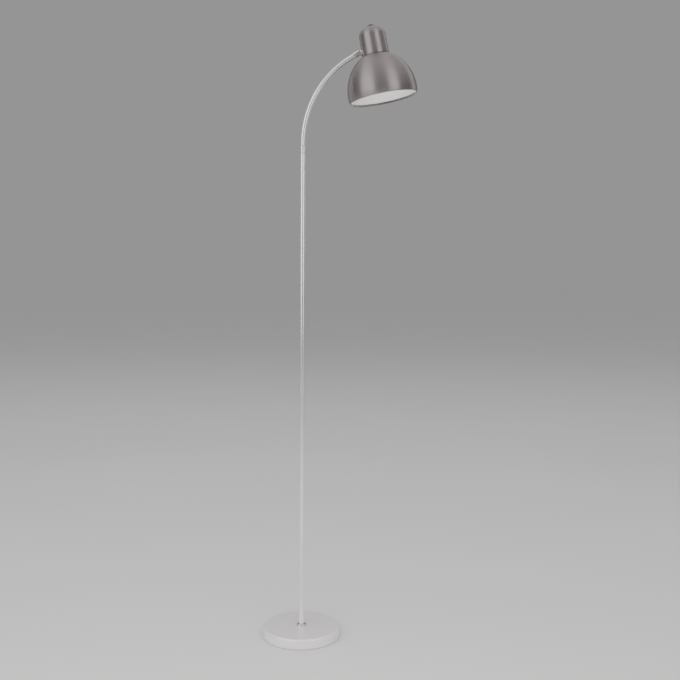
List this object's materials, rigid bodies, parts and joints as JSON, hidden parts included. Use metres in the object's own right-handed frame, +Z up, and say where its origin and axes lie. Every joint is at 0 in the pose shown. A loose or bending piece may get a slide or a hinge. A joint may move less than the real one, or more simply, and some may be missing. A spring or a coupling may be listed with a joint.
{
  "type": "reading floor lamp",
  "caption": "Reading floor lamp: weighted round base, slim straight pole, bent swivel arm, tilting bell shade with a push switch on its cap.",
  "frame": {"origin": "on the floor under the pole's axis, at the centre of the base's foot pad", "axes": "+Z up along the pole, +X the way the arm leans out, +Y to the rear where the mains lead enters the base"},
  "size_m": [0.389, 0.2024, 1.5716],
  "materials": {
    "silver_enamel": "satin silver stove enamel on pressed steel",
    "satin_nickel_tube": "satin nickel plated steel tube",
    "spun_nickel": "spun steel, brushed and nickel plated, clear lacquer",
    "polished_nickel": "turned brass, polished and nickel plated",
    "zinc_steel": "zinc plated steel",
    "cast_iron": "raw sand cast",
    "brass": "turned brass",
    "black_button": "moulded black plastic",
    "black_holder": "moulded black thermoplastic",
    "white_holder": "moulded white thermoplastic",
    "porcelain": "glazed porcelain",
    "foam_pad": "die cut black foam",
    "lead_jacket": "extruded clear over white PVC",
    "nylon": "black nylon"
  },
  "bodies": {
    "stand": {"foot_pad": "foam_pad", "bottom_plate": "zinc_steel", "plate_screws": "zinc_steel", "base_cover": "silver_enamel", "base_weight": "cast_iron", "terminal_block": "white_holder", "terminal_screw": "zinc_steel", "base_washer": "zinc_steel", "base_nut": "zinc_steel", "base_nipple": "brass", "base_ferrule": "polished_nickel", "cord_gland": "nylon", "pole_tube": "satin_nickel_tube", "pole_foot_bush": "brass", "collar": "polished_nickel", "collar_grub_screw": "zinc_steel", "swivel_washer": "nylon", "inner_lead_stand": "lead_jacket"},
    "arm": {"arm_spigot": "brass", "arm_tube": "satin_nickel_tube", "arm_end_bush": "brass", "inner_lead_arm": "lead_jacket"},
    "knuckle": {"knuckle_barrel": "polished_nickel", "knuckle_pins": "polished_nickel", "knuckle_grub_screw": "zinc_steel"},
    "head": {"knuckle_stud": "polished_nickel", "knuckle_washer": "zinc_steel", "knuckle_nut": "zinc_steel", "cap_shell": "spun_nickel", "shade_dome": "spun_nickel", "holder_bracket": "zinc_steel", "holder_nipple": "brass", "holder_nut": "zinc_steel", "holder_cap": "black_holder", "holder_skirt": "black_holder", "contact_block": "porcelain", "screw_shell": "brass", "centre_contact": "brass", "shade_ring": "black_holder", "switch_body": "black_holder", "switch_bezel": "black_button", "inner_lead_head": "lead_jacket", "switch_wires": "lead_jacket"},
    "switch_button": {"switch_button": "black_button"}
  },
  "joints": [
    {"name": "arm_swivel", "type": "hinge", "parent": "stand", "child": "arm", "pos_m": [0, 0, 1.2665], "axis": [0, 0, 1], "range_deg": [-150, 150]},
    {"name": "head_turn", "type": "hinge", "parent": "arm", "child": "knuckle", "pos_m": [0.13841, 0, 1.49929], "axis": [0.8526, 0, 0.5225], "range_deg": [-90, 90]},
    {"name": "head_tilt", "type": "hinge", "parent": "knuckle", "child": "head", "pos_m": [0.13841, 0, 1.49929], "axis": [0, -1, 0], "range_deg": [-15, 45]},
    {"name": "switch_push", "type": "slide", "parent": "head", "child": "switch_button", "axis": [0.1874, 0, -0.9823], "range_m": [0, 0.0025], "stiffness_N_per_m": 400, "springref_m": -0.0008}
  ]
}
